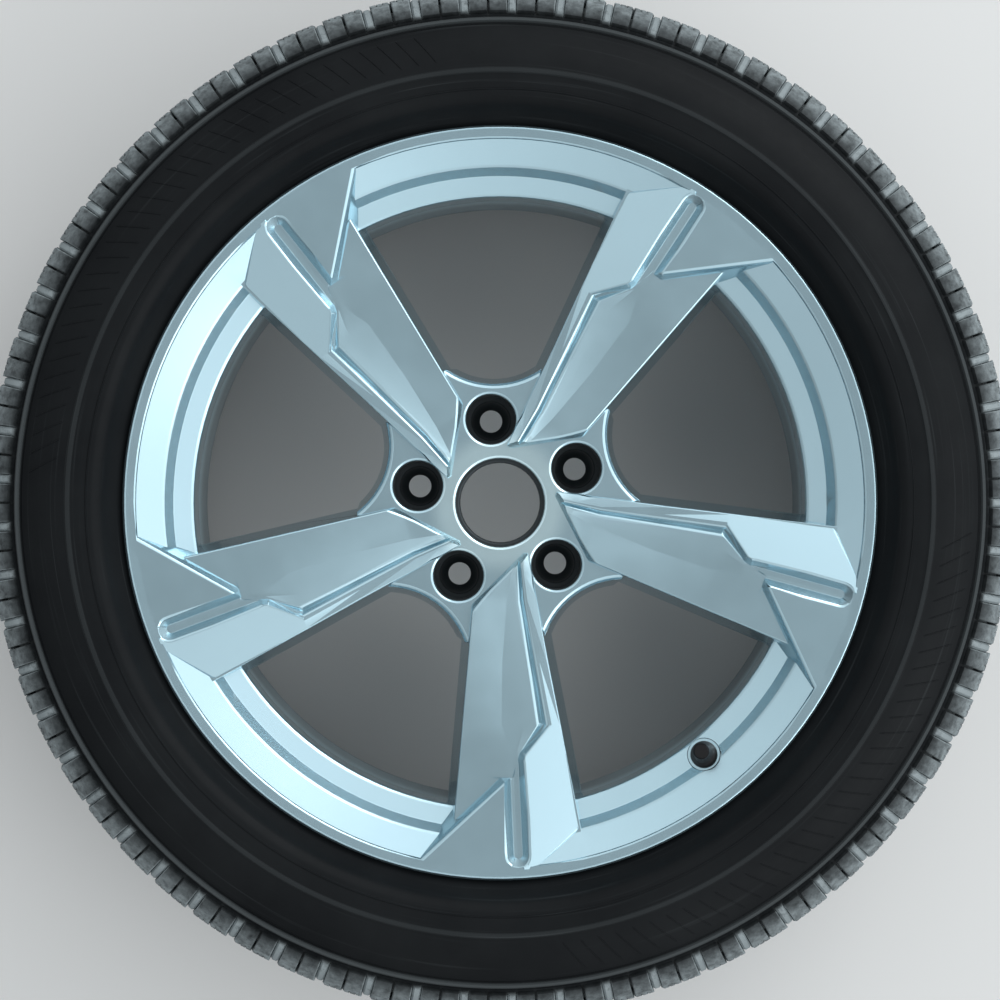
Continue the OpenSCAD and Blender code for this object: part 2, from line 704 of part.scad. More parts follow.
module core_body() {
    color(brass) at_valve() difference() {
        union() {
            translate([0, 0, core_head_z])
                cylinder(d = chamber_d - 2 * fit, h = core_top - core_head_z, $fn = 48);
            translate([0, 0, core_foot]) cylinder(d = barrel_d, h = core_top - core_foot, $fn = 48);
        }
        translate([0, 0, core_foot + 2]) cylinder(d = core_bore, h = 20, $fn = 32);
        translate([0, 0, core_foot - 1]) cylinder(d = pin_d + 0.5, h = 20, $fn = 32);
    }
}

module core_gasket() {
    color(rubber_black) at_valve()
        tube_of(chamber_d - 2 * fit, barrel_d + 2 * fit, core_head_z - 2.8, core_head_z - fit);
}

module core_pin() {
    color(brass) at_valve() union() {
        translate([0, 0, pin_foot]) cylinder(d = pin_d, h = tube_h - 0.6 - pin_foot, $fn = 32);
        translate([0, 0, pin_foot]) cylinder(d = pin_d + 1.1, h = pin_head, $fn = 32);
        translate([0, 0, collar_z]) cylinder(d = core_bore - 0.3, h = 1, $fn = 32);
    }
}

module core_cup_seal() {
    color(rubber_black) at_valve()
        tube_of(barrel_d + 0.4, pin_d + 2 * fit, cup_top - cup_t, cup_top);
}

// A coil of round wire as rings along a helix
module coil(low, high, mean_d, turns) {
    steps = 14;
    sides = 6;
    wire_r = wire_d / 2;
    total = turns * steps;
    rings = [for (i = [0 : total]) let (a = 360 * i / steps, z = mix(low + wire_r, high - wire_r, i / total))
        [for (j = [0 : sides - 1]) let (b = 360 * j / sides, q = mean_d / 2 + wire_r * cos(b))
            [q * cos(a), q * sin(a), z + wire_r * sin(b)]]];
    skin(rings);
}

module core_spring() {
    color("silver") at_valve() coil(core_foot + 2 + fit, collar_z - fit, pin_d + 0.95, 6);
}

module valve_cap() {
    ribs = 16;
    color(cap_black) at_valve() difference() {
        union() {
            translate([0, 0, cap_skirt]) cylinder(d = cap_d, h = cap_end - cap_skirt - 1, $fn = 48);
            translate([0, 0, cap_end - 1]) cylinder(d1 = cap_d, d2 = cap_d - 1.6, h = 1, $fn = 48);
        }
        translate([0, 0, cap_skirt - 1])
            cylinder(d = tube_d + 0.5, h = cap_inside - cap_skirt + 1, $fn = 48);
        for (k = [0 : ribs - 1]) rotate([0, 0, 360 / ribs * k])
            translate([cap_d / 2 + 0.35, 0, cap_skirt - 1])
                cylinder(d = 1.4, h = cap_end - cap_skirt - 1, $fn = 8);
    }
}

module cap_seal() {
    color(rubber_black) at_valve()
        translate([0, 0, cap_inside - seal_t]) cylinder(d = tube_d + 0.2, h = seal_t - fit, $fn = 48);
}

// Balance weights stuck to the inside of the barrel in one strip
weight_r = barrel_in - 0.05;
weight_z = barrel_front - weight_back;
weight_step = (weight_l + weight_gap) / (barrel_in - weight_t / 2) * 180 / PI;
weight_angle = weight_l / (barrel_in - weight_t / 2) * 180 / PI;

module weight_tape() {
    angle = weight_step * weight_count - weight_gap / barrel_in * 180 / PI;
    color(tape_blue) rotate([0, 0, weight_turn - angle / 2]) rotate_extrude(angle = angle, $fn = 180)
        translate([weight_r - tape_t, weight_z - weight_w / 2]) square([tape_t, weight_w]);
}

module balance_weight(k) {
    low = weight_turn + weight_step * (k - (weight_count + 1) / 2) - weight_angle / 2;
    w = weight_w - 1;
    outer = weight_r - tape_t - fit;
    color(lead_grey) rotate([0, 0, low]) rotate_extrude(angle = weight_angle, $fn = 180)
        translate([0, weight_z]) polygon([
            [outer, -w / 2], [outer, w / 2],
            [outer - weight_t + 1.2, w / 2], [outer - weight_t, w / 2 - 1.2],
            [outer - weight_t, -w / 2 + 1.2], [outer - weight_t + 1.2, -w / 2]]);
}

rim();
tyre();
valve_stem();
valve_tube();
core_body();
core_gasket();
core_pin();
core_cup_seal();
core_spring();
valve_cap();
cap_seal();
weight_tape();
for (k = [1 : weight_count]) balance_weight(k);
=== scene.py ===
# %% [markdown]
# # A cast five-spoke wheel with its winter tyre
#
# The measured solids come from a CAD model. This lesson dresses them: the casting gets rounded
# edges and a metallic paint, the tyre gets its blocks, sipes and sidewall marks, and the small
# parts of the valve get their own finishes. One unit is a metre. The wheel lies flat, with +Z
# as its axis, so the face looks up at the camera.

# %% Load the CAD frame
import json
import math

import bmesh
import bpy
import numpy as np
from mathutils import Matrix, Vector


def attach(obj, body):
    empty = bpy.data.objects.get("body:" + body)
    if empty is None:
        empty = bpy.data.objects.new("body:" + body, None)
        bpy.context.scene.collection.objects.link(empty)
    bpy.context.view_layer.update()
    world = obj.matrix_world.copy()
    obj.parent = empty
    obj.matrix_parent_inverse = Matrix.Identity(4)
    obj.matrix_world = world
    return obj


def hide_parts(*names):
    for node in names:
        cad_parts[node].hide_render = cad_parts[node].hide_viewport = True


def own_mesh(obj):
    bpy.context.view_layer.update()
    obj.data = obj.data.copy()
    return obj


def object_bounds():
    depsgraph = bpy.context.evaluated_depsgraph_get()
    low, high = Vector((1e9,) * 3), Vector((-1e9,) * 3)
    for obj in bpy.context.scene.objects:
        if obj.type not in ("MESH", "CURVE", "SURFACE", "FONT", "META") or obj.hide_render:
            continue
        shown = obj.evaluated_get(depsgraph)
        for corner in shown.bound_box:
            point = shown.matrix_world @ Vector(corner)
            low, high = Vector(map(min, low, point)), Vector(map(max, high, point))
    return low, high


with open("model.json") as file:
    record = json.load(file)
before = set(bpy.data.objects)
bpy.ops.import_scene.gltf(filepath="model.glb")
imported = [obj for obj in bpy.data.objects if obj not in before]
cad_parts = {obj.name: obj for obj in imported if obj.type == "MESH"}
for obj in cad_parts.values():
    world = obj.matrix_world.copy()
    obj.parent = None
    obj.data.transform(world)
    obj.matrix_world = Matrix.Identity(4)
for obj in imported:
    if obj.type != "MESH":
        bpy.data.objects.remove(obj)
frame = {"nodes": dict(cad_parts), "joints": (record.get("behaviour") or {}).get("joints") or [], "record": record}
cad_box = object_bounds()
MM = 0.001
print("CAD nodes:", len(frame["nodes"]), "box:", [round(v, 4) for v in cad_box[1]])

# %% [markdown]
# ## Small helpers
#
# A piece is a mesh object at the origin, with its place in its points. Rings of points joined by
# quads make every turned or swept form here, so one helper turns a grid of points into faces.

# %% Make a mesh from a grid of rings
def grid_faces(rows, columns, close_rows=False, close_columns=False):
    """Quads between the rows of a grid whose points are numbered row by row."""
    faces = []
    for i in range(rows if close_rows else rows - 1):
        for j in range(columns if close_columns else columns - 1):
            a, b = i * columns + j, i * columns + (j + 1) % columns
            k = (i + 1) % rows * columns
            faces.append((a, b, k + (j + 1) % columns, k + j))
    return faces


def new_object(name, points, faces):
    mesh = bpy.data.meshes.new(name)
    mesh.from_pydata([tuple(p) for p in points], [], faces)
    mesh.update()
    piece = bpy.data.objects.new(name, mesh)
    bpy.context.scene.collection.objects.link(piece)
    return piece


def outward(piece, merge=1e-6):
    """Merges doubled points and turns every face outwards."""
    work = bmesh.new()
    work.from_mesh(piece.data)
    bmesh.ops.remove_doubles(work, verts=work.verts, dist=merge)
    bmesh.ops.recalc_face_normals(work, faces=work.faces)
    work.to_mesh(piece.data)
    work.free()
    return piece


def smooth(piece, degrees):
    """Smooth shading that keeps edges sharper than the given angle."""
    piece.data.shade_smooth()
    piece.data.set_sharp_from_angle(angle=math.radians(degrees))
    return piece


# %% [markdown]
# ## Shader maths as Python
#
# A socket wrapped in `Sum` can be added or multiplied like a number, and each operation adds
# its Math node. Every other node comes from one method, `Nodes.node`, in materials, in the
# world and in Geometry Nodes alike.

# %% A socket that does sums
class Sum:
    def __init__(self, nodes, socket):
        self.nodes, self.socket = nodes, socket

    def maths(self, operation, *others):
        values = dict(enumerate([self, *others]))
        return self.nodes.node("ShaderNodeMath", {"operation": operation}, values)

    def __add__(self, other):
        return self.maths("ADD", other)

    def __sub__(self, other):
        return self.maths("SUBTRACT", other)

    def __mul__(self, other):
        return self.maths("MULTIPLY", other)

    def __rsub__(self, other):
        return (self * -1.0) + other

    __radd__, __rmul__ = __add__, __mul__

    def clamp(self):
        return self.maths("MINIMUM", 1.0).maths("MAXIMUM", 0.0)

    def between(self, low, high):
        """0 at low, 1 at high, eased at both ends."""
        settings = {"interpolation_type": "SMOOTHSTEP", "clamp": True}
        values = {0: self, 1: low, 2: high, 3: 0.0, 4: 1.0}
        return self.nodes.node("ShaderNodeMapRange", settings, values)


class Nodes:
    """A node tree that is filled in from Python."""

    def __init__(self, tree):
        self.tree = tree

    def node(self, kind, settings=None, values=None, output=0):
        """Adds a node: its settings first, then the values or links of its sockets."""
        made = self.tree.nodes.new(kind)
        for key, value in (settings or {}).items():
            if key == "stops":
                ramp = made.color_ramp
                while len(ramp.elements) < len(value):
                    ramp.elements.new(0.5)
                for element, (place, colour) in zip(ramp.elements, value):
                    element.position, element.color = place, (*colour, 1.0)
            else:
                setattr(made, key, value)
        for key, value in (values or {}).items():
            if isinstance(value, Sum):
                value = value.socket
            if isinstance(value, bpy.types.NodeSocket):
                self.tree.links.new(value, made.inputs[key])
            elif isinstance(value, tuple) and len(value) == 3 and made.inputs[key].type == "RGBA":
                made.inputs[key].default_value = (*value, 1.0)
            else:
                made.inputs[key].default_value = value
        return Sum(self, made.outputs[output])

    def split(self, vector):
        parts = self.node("ShaderNodeSeparateXYZ", values={0: vector}).socket.node
        return [Sum(self, parts.outputs[i]) for i in range(3)]


class Paint(Nodes):
    """A material whose Principled shader is filled in from Python."""

    def __init__(self, name):
        self.material = bpy.data.materials.new(name)
        self.material.use_nodes = True
        super().__init__(self.material.node_tree)
        self.shader = self.tree.nodes["Principled BSDF"]

    def place(self):
        """Object coordinates: the same metres as the CAD model."""
        return self.node("ShaderNodeTexCoord", output=3)

    def noise(self, vector, scale, detail=3.0, roughness=0.55):
        values = {"Vector": vector, "Scale": scale, "Detail": detail, "Roughness": roughness}
        return self.node("ShaderNodeTexNoise", values=values)

    def mix(self, factor, a, b):
        """A mix of two colours."""
        return self.node("ShaderNodeMix", {"data_type": "RGBA"}, {0: factor, 6: a, 7: b}, output=2)

    def bump(self, height, strength, distance):
        values = {"Height": height, "Strength": strength, "Distance": distance}
        bumped = self.node("ShaderNodeBump", values=values)
        self.tree.links.new(bumped.socket, self.shader.inputs["Normal"])

    def set(self, **values):
        """Fills sockets of the Principled shader; an underscore stands for a space."""
        for key, value in values.items():
            socket = self.shader.inputs[key.replace("_", " ")]
            if isinstance(value, Sum):
                self.tree.links.new(value.socket, socket)
            else:
                socket.default_value = (*value, 1.0) if isinstance(value, tuple) else value
        return self.material


# %% [markdown]
# ## Silver paint
#
# Real wheel paint is aluminium flake under clear lacquer. The flake gives a bright, slightly
# grainy metal that changes with its tilt, and the lacquer adds a sharper gloss on top. Fine
# cells vary the flake, a large soft noise keeps the film from looking printed, and brake dust
# and painted shade darken the inside of the barrel, deep behind the face. A painted highlight
# makes the plate brighter round the bore, and painted shade darkens the bore and the bolt
# pockets inside.

# %% Silver paint of the casting
PLATE_Z = 0.08625  # height of the hub's plate
BOLT_CIRCLE_R, BOLTS, FIRST_BOLT = 0.056, 5, 24.3  # the first bolt's direction is in degrees
POCKET_R, BORE_R = 0.0170, 0.0300
TIP_R = 0.046  # the spokes' thin inner tips lie within this distance of the axle


def silver_paint():
    p = Paint("silver_paint")
    place = p.place()
    x, y, z = p.split(place)
    radius = (x * x + y * y).maths("SQRT")
    flake = p.node("ShaderNodeTexVoronoi", values={"Vector": place, "Scale": 2600.0})
    cloud = p.noise(place, 9.0)
    film = p.noise(place, 60.0, 4.0)
    # brake dust and painted shade: the barrel deep behind the face is darkened
    behind = z.between(0.075, 0.045)
    dust_and_painted_light = (behind * radius.between(0.15, 0.20) * (cloud * 0.7 + 0.5)).clamp()
    share = (y.maths("ARCTAN2", x) - math.radians(FIRST_BOLT)) * (BOLTS / (2 * math.pi)) + 0.5
    aside = (share.maths("FRACT") - 0.5) * (2 * math.pi / BOLTS)
    off = radius * radius + BOLT_CIRCLE_R ** 2 - radius * aside.maths("COSINE") * (2 * BOLT_CIRCLE_R)
    pocket = off.maths("MAXIMUM", 0.0).maths("SQRT").between(POCKET_R + 0.0002, POCKET_R - 0.0003)
    bore = radius.between(BORE_R + 0.0002, BORE_R - 0.0003)
    # painted shade: the insides of the bore and the bolt pockets below the plate are darkened
    hollow_shade = ((pocket + bore) * z.between(PLATE_Z - 0.0010, PLATE_Z - 0.0018)).clamp()
    tone = p.mix(cloud * 0.35 + flake * 0.35, (0.41, 0.58, 0.655), (0.49, 0.69, 0.775))
    # painted highlight: the plate round the bore is lightened as if it caught the light
    painted_highlight_ring = radius.between(0.051, 0.036) * z.between(0.080, 0.084)
    with_painted_highlight = p.mix(painted_highlight_ring * 0.85, tone, (0.68, 0.89, 0.95))
    dusted_and_shaded = p.mix(dust_and_painted_light * 0.8, with_painted_highlight, (0.10, 0.09, 0.08))
    shaded = p.mix(hollow_shade * 0.95, dusted_and_shaded, (0.018, 0.020, 0.022))
    p.bump(flake * 0.4 + film * 0.6, 0.06, 0.0004)
    return p.set(
        Base_Color=shaded,
        Metallic=(0.93 - dust_and_painted_light * 0.6 - hollow_shade * 0.5).clamp(),
        Roughness=0.20 + (film * 0.08) + dust_and_painted_light * 0.25 + hollow_shade * 0.3,
        Coat_Weight=(0.55 - dust_and_painted_light * 0.4 - hollow_shade * 0.5).clamp(),
        Coat_Roughness=0.07,
        Coat_IOR=1.5,
    )


# %% [markdown]
# ## Rubber
#
# Tyre rubber is almost black and matt. What makes it read as a tyre is dust: it stays on the
# shoulder blocks and in the notches between them, and thins out down the sidewall to a few
# streaks. The colour is driven by the distance from the axle, so the dust follows the tyre's
# rings. A painted highlight lightens the raised ring on the sidewall and the ridge by the
# shoulder.

# %% Rubber of the tyre
PITCHES = 65  # pitches of the tread's pattern round the tyre


def tyre_rubber():
    p = Paint("tyre_rubber")
    place = p.place()
    x, y, z = p.split(place)
    radius = (x * x + y * y).maths("SQRT")
    cloud = p.noise(place, 14.0, 5.0, 0.6)
    grain = p.noise(place, 900.0, 2.0)
    scuff = p.noise(place, 160.0, 4.0, 0.7)
    round_about = {0: radius * 330.0, 1: x.maths("DIVIDE", radius), 2: y.maths("DIVIDE", radius)}
    around = p.node("ShaderNodeCombineXYZ", values=round_about)
    streak = p.noise(around, 1.6, 3.0, 0.6).between(0.58, 0.80)
    shoulder = radius.between(0.319, 0.341)
    # painted highlight: the raised ridge by the shoulder and the raised ring are lightened as if lit
    ridge_sheen = radius.between(0.3148, 0.3162) * radius.between(0.3196, 0.3186)
    ring_sheen = radius.between(0.2800, 0.2808) * radius.between(0.2846, 0.2836)
    share = (y.maths("ARCTAN2", x) * (PITCHES / (2 * math.pi)) + 0.5).maths("FRACT") - 0.5
    notch = share.maths("ABSOLUTE").between(0.135, 0.09)
    notch = notch * z.between(0.086, 0.092) * radius.between(0.321, 0.326)
    worn = shoulder * (scuff * 2.2 + cloud * 0.5 - 0.62) + notch * (scuff * 1.6 - 0.05)
    dust_and_painted_light = (worn + streak * 0.05 + cloud * 0.03 + ridge_sheen * 0.16 + ring_sheen * 0.05).clamp()
    base = p.mix(cloud, (0.0028, 0.0035, 0.0046), (0.0050, 0.0058, 0.0066))
    dusted_and_sheened = p.mix(dust_and_painted_light * 0.85, base, (0.30, 0.345, 0.36))
    p.bump(grain * 0.5 + scuff * 0.5, 0.16, 0.0004)
    return p.set(
        Base_Color=dusted_and_sheened,
        Roughness=0.46 + dust_and_painted_light * 0.40 + (scuff - 0.5) * 0.14,
        Specular_IOR_Level=0.08,
    )


# %% [markdown]
# ## The small finishes
#
# The cap is moulded plastic, the stem is smoother rubber than the tyre, the tube and the valve
# core are turned brass, the spring is bright wire and the weights are cast zinc on foam tape.

# %% Plain finishes with a little life in them
def moulded(name, low, high, roughness, grain_scale, metallic=0.0, strength=0.1, shine=0.5):
    p = Paint(name)
    place = p.place()
    cloud = p.noise(place, 120.0, 4.0)
    grain = p.noise(place, grain_scale, 3.0)
    p.bump(grain, strength, 0.0003)
    return p.set(
        Base_Color=p.mix(cloud, low, high),
        Roughness=roughness + (grain - 0.5) * 0.16,
        Metallic=metallic,
        Specular_IOR_Level=shine,
    )


FINISHES = {
    "silver_paint": silver_paint(),
    "tyre_rubber": tyre_rubber(),
    "valve_rubber": moulded(
        "valve_rubber", (0.011, 0.011, 0.012), (0.022, 0.022, 0.023), 0.42, 2200.0),
    "brass": moulded(
        "turned_brass", (0.56, 0.40, 0.17), (0.72, 0.54, 0.26), 0.27, 1400.0, metallic=1.0),
    "spring_steel": moulded(
        "spring_wire", (0.52, 0.52, 0.53), (0.64, 0.64, 0.66), 0.24, 2600.0, metallic=1.0),
    "cap_plastic": moulded(
        "cap_plastic", (0.006, 0.006, 0.007), (0.012, 0.012, 0.013), 0.36, 3000.0, shine=0.2),
    "tape_foam": moulded(
        "tape_foam", (0.05, 0.08, 0.13), (0.09, 0.12, 0.18), 0.8, 1800.0, strength=0.4),
    "weight_zinc": moulded(
        "weight_zinc", (0.36, 0.37, 0.39), (0.50, 0.51, 0.53), 0.42, 900.0, metallic=0.85),
}
for part in frame["record"]["subparts"]:
    data = frame["nodes"][part["node"]].data
    data.materials.clear()
    data.materials.append(FINISHES[part["material_slot"]])
print("finishes:", sorted(FINISHES))

# %% [markdown]
# ## The casting
#
# A casting has no knife edges: paint and draft round each one, and those small rounds catch
# the light as bright lines. The CAD mesh is loose triangles, so a copy of it is merged and its
# flat faces are joined again. A narrow bevel then rounds the edges that stand out, as wide as
# there is room beside each, and folds that run inwards stay crisp.

# %% Round the edges of the casting
ROUND, LEAST_FOLD = 1.0 * MM, 19.0  # widest round, and the least fold in degrees that gets one
ABOVE_PLATE = 0.2 * MM


def merged_copy(node, name, flat_degrees=0.6):
    """A copy of a CAD node with its points merged and its flat faces joined."""
    mesh = frame["nodes"][node].data.copy()
    mesh.name = name
    piece = bpy.data.objects.new(name, mesh)
    bpy.context.scene.collection.objects.link(piece)
    work = bmesh.new()
    work.from_mesh(mesh)
    bmesh.ops.remove_doubles(work, verts=work.verts, dist=2e-6)
    bmesh.ops.dissolve_degenerate(work, edges=work.edges, dist=1e-4)
    bmesh.ops.dissolve_limit(
        work, angle_limit=math.radians(flat_degrees), use_dissolve_boundaries=False,
        verts=work.verts, edges=work.edges, delimit={"NORMAL"},
    )
    work.to_mesh(mesh)
    work.free()
    return piece


def crease(piece, length=9.0):
    """Keeps folds crisp: sharp ones, and long shallow ones that run outwards from the axle."""
    work = bmesh.new()
    work.from_mesh(piece.data)
    for edge in work.edges:
        one, two = (v.co for v in edge.verts)
        run, middle = two - one, ((one + two) / 2 * Vector((1, 1, 0))).normalized()
        angle = math.degrees(edge.calc_face_angle(0.0))
        outwards = abs(run.normalized().dot(middle)) > 0.93 and run.length > length * MM
        edge.smooth = not (angle > 30 or (angle > 3.4 and outwards) or (angle > 12 and not outwards))
    work.to_mesh(piece.data)
    work.free()


def room_at(loop, ahead, round_edges):
    """How wide a round may be where a face's edge meets its neighbour in that face, in metres."""
    other = loop.link_loop_next if ahead else loop.link_loop_prev
    corner = other if ahead else loop
    turn = corner.calc_angle()
    if other.edge in round_edges:
        if turn > math.radians(150):
            return 1.0
        return 0.8 * min(loop.edge.calc_length(), other.edge.calc_length()) * math.tan(turn / 2)
    return 0.45 * other.edge.calc_length() * math.sin(turn)


def room_across(loop, round_edges):
    """How wide a round may be before it meets the round of an edge across the same face."""
    one, two = loop.vert.co, loop.link_loop_next.vert.co
    along = (two - one).normalized()
    inward = loop.face.normal.cross(along)
    room = 1.0
    for other in loop.face.loops:
        if other.edge is loop.edge or other.edge not in round_edges:
            continue
        if set(other.edge.verts) & set(loop.edge.verts):
            continue
        for point in (other.vert.co, other.link_loop_next.vert.co):
            away = point - one
            if -0.5 * MM < away.dot(along) < (two - one).length + 0.5 * MM and away.dot(inward) > 0:
                room = min(room, 0.45 * away.dot(inward))
    return room


def cramped(point):
    """True where a bolt pocket cuts through the tip of a spoke, too tight for a round."""
    turn = math.atan2(point.y, point.x) - math.radians(FIRST_BOLT)
    aside = (turn / (2 * math.pi) * BOLTS + 0.5) % 1.0 - 0.5
    aside *= 2 * math.pi / BOLTS
    radius = math.hypot(point.x, point.y)
    off = radius ** 2 + BOLT_CIRCLE_R ** 2 - 2 * radius * BOLT_CIRCLE_R * math.cos(aside)
    return math.sqrt(max(0.0, off)) < POCKET_R + 0.0012 and point.z > PLATE_Z + ABOVE_PLATE


def at_tip(point):
    """True at the thin inner tip of a spoke, which stands on the hub's plate."""
    return math.hypot(point.x, point.y) < TIP_R and point.z > PLATE_Z + ABOVE_PLATE


def weigh_edges(piece, width, least):
    """Gives each edge that folds by more than the least angle as wide a round as it has room for."""
    work = bmesh.new()
    work.from_mesh(piece.data)
    layer = work.edges.layers.float.new("bevel_weight_edge")
    folded = {
        edge for edge in work.edges
        if len(edge.link_faces) == 2 and math.degrees(edge.calc_face_angle(0.0)) > least
        and edge.is_convex
        and not any(cramped(vertex.co) for vertex in edge.verts)
        and not all(at_tip(vertex.co) for vertex in edge.verts)
    }
    for edge in folded:
        ends = [room_at(loop, ahead, folded) for loop in edge.link_loops for ahead in (True, False)]
        across = [room_across(loop, folded) for loop in edge.link_loops]
        edge[layer] = min(1.0, min(ends + across) / width)
    work.to_mesh(piece.data)
    work.free()
    return len(folded)


rim = merged_copy("rim", "rim_casting")
rounded = weigh_edges(rim, ROUND, LEAST_FOLD)
bevel = rim.modifiers.new("edge_round", "BEVEL")
bevel.width = ROUND
bevel.segments = 2
bevel.limit_method = "WEIGHT"
bevel.use_clamp_overlap = False
bevel.harden_normals = False
smooth(rim, 30)
crease(rim)
level = rim.modifiers.new("level_faces", "WEIGHTED_NORMAL")
level.mode = "FACE_AREA"
level.keep_sharp = True
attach(rim, "wheel")
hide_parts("rim")
print("casting:", len(rim.data.polygons), "faces before its bevel,", rounded, "edges rounded")

# %% [markdown]
# ## The tyre's carcass
#
# A tyre is a body of revolution with blocks on it. Its section is drawn once, as radius and
# height in millimetres, and turned round the axle. The long curves run through a few measured
# points, and the rings moulded on the sidewall are short straight steps between them.

# %% The section of the carcass
TYRE_R, CROWN_DROP, HALF_TREAD, GROOVE_CUT = 345.0, 4.0, 100.0, 8.0


def arc(cx, cy, radius, start, end, steps):
    """Points of an arc from one angle to another, in degrees."""
    turns = np.radians(np.linspace(start, end, steps + 1))
    return [(cx + radius * math.cos(t), cy + radius * math.sin(t)) for t in turns]


def curve(points, steps=6):
    """A smooth curve through the points (Catmull-Rom), with this many steps to a span."""
    p = np.array([points[0], *points, points[-1]], float)
    out = []
    for i in range(1, len(p) - 2):
        for t in np.linspace(0, 1, steps, endpoint=False):
            a, b, c, d = p[i - 1:i + 3]
            out.append(tuple(0.5 * (2 * b + (c - a) * t + (2 * a - 5 * b + 4 * c - d) * t ** 2
                                    + (3 * b - a - 3 * c + d) * t ** 3)))
    return out + [tuple(p[-1])]


def crown(z):
    """Radius of the tread's surface at a height from the tyre's middle."""
    return TYRE_R - CROWN_DROP * (abs(z) / HALF_TREAD) ** 2


def ring_line(r, z, width, height):
    """A raised line round the sidewall, with sloped flanks."""
    foot, top = width / 2, width / 4
    return [(r - foot, z), (r - top, z + height), (r + top, z + height), (r + foot, z - 0.1)]


bead = [(230.1, 75.75)] + arc(237.8, 88.45, 6.5, 180, 90, 6) + arc(239.0, 104.75, 9.8, -85, -38, 5)
lower_side = curve([(247.6, 99.6), (252.8, 104.6), (257.4, 110.2), (261.2, 115.6), (265.6, 118.6),
                    (269.0, 119.4)])
middle = curve([(271.2, 119.45), (275.0, 119.9), (279.6, 120.1)], 4)
upper_side = curve([(284.8, 119.95), (292.0, 119.0), (300.0, 116.9), (308.0, 113.6), (313.6, 110.6)])
side = (
    bead + lower_side + ring_line(270.0, 119.5, 1.2, 0.5) + middle
    + [(280.4, 120.2), (281.0, 120.9), (282.2, 121.0), (283.4, 120.8), (284.0, 120.1)] + upper_side
    + [(314.3, 109.2), (315.3, 108.9), (315.9, 109.8), (316.6, 111.0), (318.0, 110.9), (318.9, 109.6)]
    + [(319.4, 107.2), (320.2, 106.2), (321.2, 105.6)]
)
shoulder_floor = curve([(321.8, 105.2), (326.6, 102.0), (331.6, 95.4), (334.2, 86.0), (334.8, 74.0)], 3)
tread_floor = [(crown(z) - GROOVE_CUT, z) for z in (60.0, 48.0, 32.0, 16.0, 0.0)]
inside = [(231.2, 74.2), (243.0, 81.0), (259.0, 97.0), (264.0, 110.0)] + curve(
    [(266.0, 110.6), (282.0, 112.0), (298.0, 109.0), (312.0, 100.0), (324.0, 84.0), (328.6, 60.0),
     (329.0, 30.0)], 3)
front_half = [(329.0, 0.0)] + inside[::-1] + side + shoulder_floor + tread_floor
section = front_half + [(r, -z) for r, z in front_half[::-1] if z > 0]
print("points in the tyre's section:", len(section))


# %% Turn a section round the axle
def turned(name, line, steps):
    """A closed line of (radius, height) in millimetres, turned round the axle."""
    angles = np.linspace(0, 2 * math.pi, steps, endpoint=False)
    points = [(r * math.cos(a) * MM, r * math.sin(a) * MM, z * MM) for a in angles for r, z in line]
    return new_object(name, points, grid_faces(steps, len(line), close_rows=True, close_columns=True))


rubber = FINISHES["tyre_rubber"]
carcass = outward(turned("tyre_carcass", section, 360))
carcass.data.materials.append(rubber)
print("carcass:", len(carcass.data.polygons), "faces")

# %% [markdown]
# ## Blocks and sipes
#
# One pitch of the tread holds two shoulder blocks, a pair of slanted blocks beside them and a
# centre block. Each is cut by thin waving sipes, which is what makes a winter tyre. A slab
# between two sipes is one small closed shape, so a pitch is a handful of slabs, and Geometry
# Nodes sets the pitch round the tyre.

# %% Slabs of one pitch
PITCH_MM = 2 * math.pi * TYRE_R / PITCHES
NOTCH, SLOT, SIPE = 7.0, 1.6, 0.6  # widths of the shoulder's notches, its slots and all sipes


class Slabs:
    """Collects small swept shapes into one mesh."""

    SIDES = 6

    def __init__(self):
        self.points, self.faces = [], []

    def add(self, rows, chamfer=0.5):
        """rows: (top radius, top z, foot radius, foot z, left, right), left and right in mm along
        the tread, from one end of the slab to the other."""
        first = len(self.points)
        for top_r, top_z, foot_r, foot_z, left, right in rows:
            down = Vector((foot_r - top_r, foot_z - top_z)).normalized() * chamfer
            edge_r, edge_z = top_r + down.x, top_z + down.y
            shape = [(foot_r, foot_z, left), (edge_r, edge_z, left), (top_r, top_z, left + chamfer),
                     (top_r, top_z, right - chamfer), (edge_r, edge_z, right), (foot_r, foot_z, right)]
            for r, z, along in shape:
                turn = along / TYRE_R
                self.points.append((r * math.cos(turn) * MM, r * math.sin(turn) * MM, z * MM))
        for quad in grid_faces(len(rows), self.SIDES, close_columns=True):
            self.faces.append(tuple(first + corner for corner in quad))
        self.faces.append(tuple(first + i for i in range(self.SIDES)))
        last = first + (len(rows) - 1) * self.SIDES
        self.faces.append(tuple(last + i for i in reversed(range(self.SIDES))))

    def made(self, name):
        return outward(new_object(name, self.points, self.faces))


def wave(z, size=0.9, length=9.0):
    """The sideways swing of a sipe."""
    return size * math.sin(2 * math.pi * z / length)


def between_sipes(start, end, count):
    """The (left, right) ends of each slab, where sipes cut a block into this many."""
    cuts = np.linspace(start, end, count + 1)
    return [(cuts[i] + (SIPE / 2 if i else 0.0), cuts[i + 1] - (SIPE / 2 if i < count - 1 else 0.0))
            for i in range(count)]


